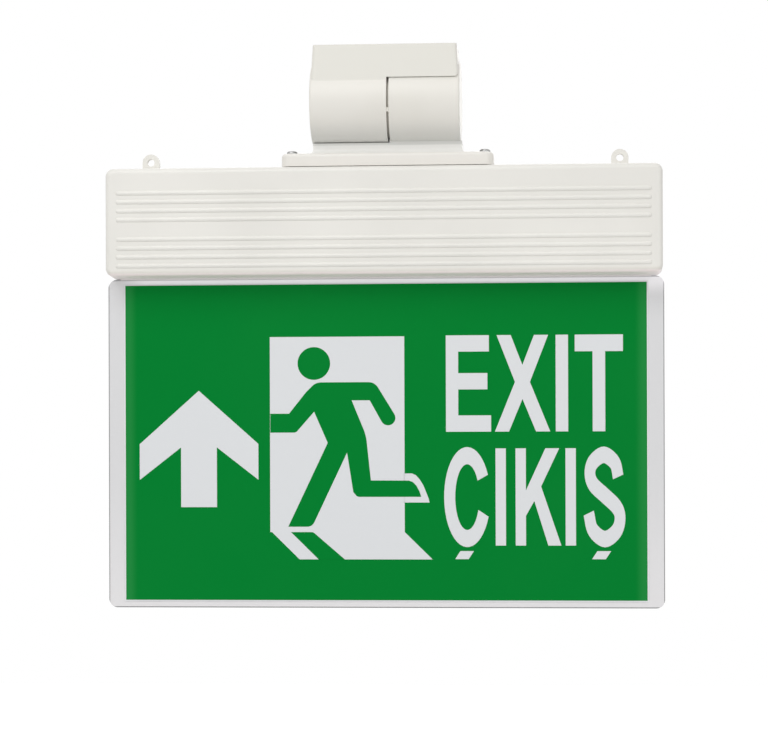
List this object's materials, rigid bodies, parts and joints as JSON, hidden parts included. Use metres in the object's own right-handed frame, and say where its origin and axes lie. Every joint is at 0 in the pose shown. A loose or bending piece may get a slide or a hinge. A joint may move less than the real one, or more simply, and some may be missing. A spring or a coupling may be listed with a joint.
{
  "type": "emergency exit light",
  "caption": "Double-sided edge-lit emergency exit light with a clear guide plate below a ribbed housing, hung from a two-leaf swivel bracket.",
  "frame": {"origin": "centre of the bracket's ceiling face", "axes": "+Z out of the ceiling face, +Y away from the front sign face, +X along the housing"},
  "size_m": [0.353, 0.052, 0.354],
  "materials": {
    "housing_plastic": "fine moulded satin",
    "bracket_plastic": "moulded satin",
    "acrylic": "clear polished",
    "green_film": "satin print",
    "white_print": "satin print",
    "zinc_steel": "zinc plated",
    "rail_aluminium": "mill finish",
    "board": "solder mask",
    "led_white": "moulded",
    "battery_wrap": "shrink wrap",
    "black_plastic": "moulded",
    "terminal_plastic": "moulded",
    "button_plastic": "moulded",
    "green_lens": "clear",
    "friction_plastic": "moulded"
  },
  "bodies": {
    "mount": {"ceiling_bracket": "bracket_plastic", "base_plate": "zinc_steel", "bracket_screws": "zinc_steel", "left_end_cap": "bracket_plastic", "pivot_nipple": "zinc_steel", "pivot_nuts": "zinc_steel", "friction_washer": "friction_plastic", "spring_washer": "zinc_steel"},
    "lamp": {"right_end_cap": "bracket_plastic", "hinge_leaf": "bracket_plastic", "flange_screws": "zinc_steel", "front_shell": "housing_plastic", "rear_shell": "housing_plastic", "shell_screws": "zinc_steel", "anchor_bar": "zinc_steel", "light_guide_plate": "acrylic", "front_film": "green_film", "rear_film": "green_film", "front_print": "white_print", "rear_print": "white_print", "led_rail": "rail_aluminium", "led_board": "board", "led_chips": "led_white", "rail_screws": "zinc_steel", "battery_pack": "battery_wrap", "battery_cradles": "black_plastic", "driver_board": "board", "board_screws": "zinc_steel", "terminal_block": "terminal_plastic", "transformer": "black_plastic", "capacitors": "black_plastic", "switch": "black_plastic", "switch_board": "board", "status_lens": "green_lens", "status_led": "led_white"},
    "test_button": {"test_button": "button_plastic"}
  },
  "joints": [
    {"name": "bracket_hinge", "type": "hinge", "parent": "mount", "child": "lamp", "pos_m": [0, 0, -0.035], "axis": [1, 0, 0], "range_deg": [-90, 90]},
    {"name": "button_press", "type": "slide", "parent": "lamp", "child": "test_button", "axis": [1, 0, 0], "range_m": [0, 0.0012], "stiffness_N_per_m": 1500, "springref_m": -0.001}
  ]
}
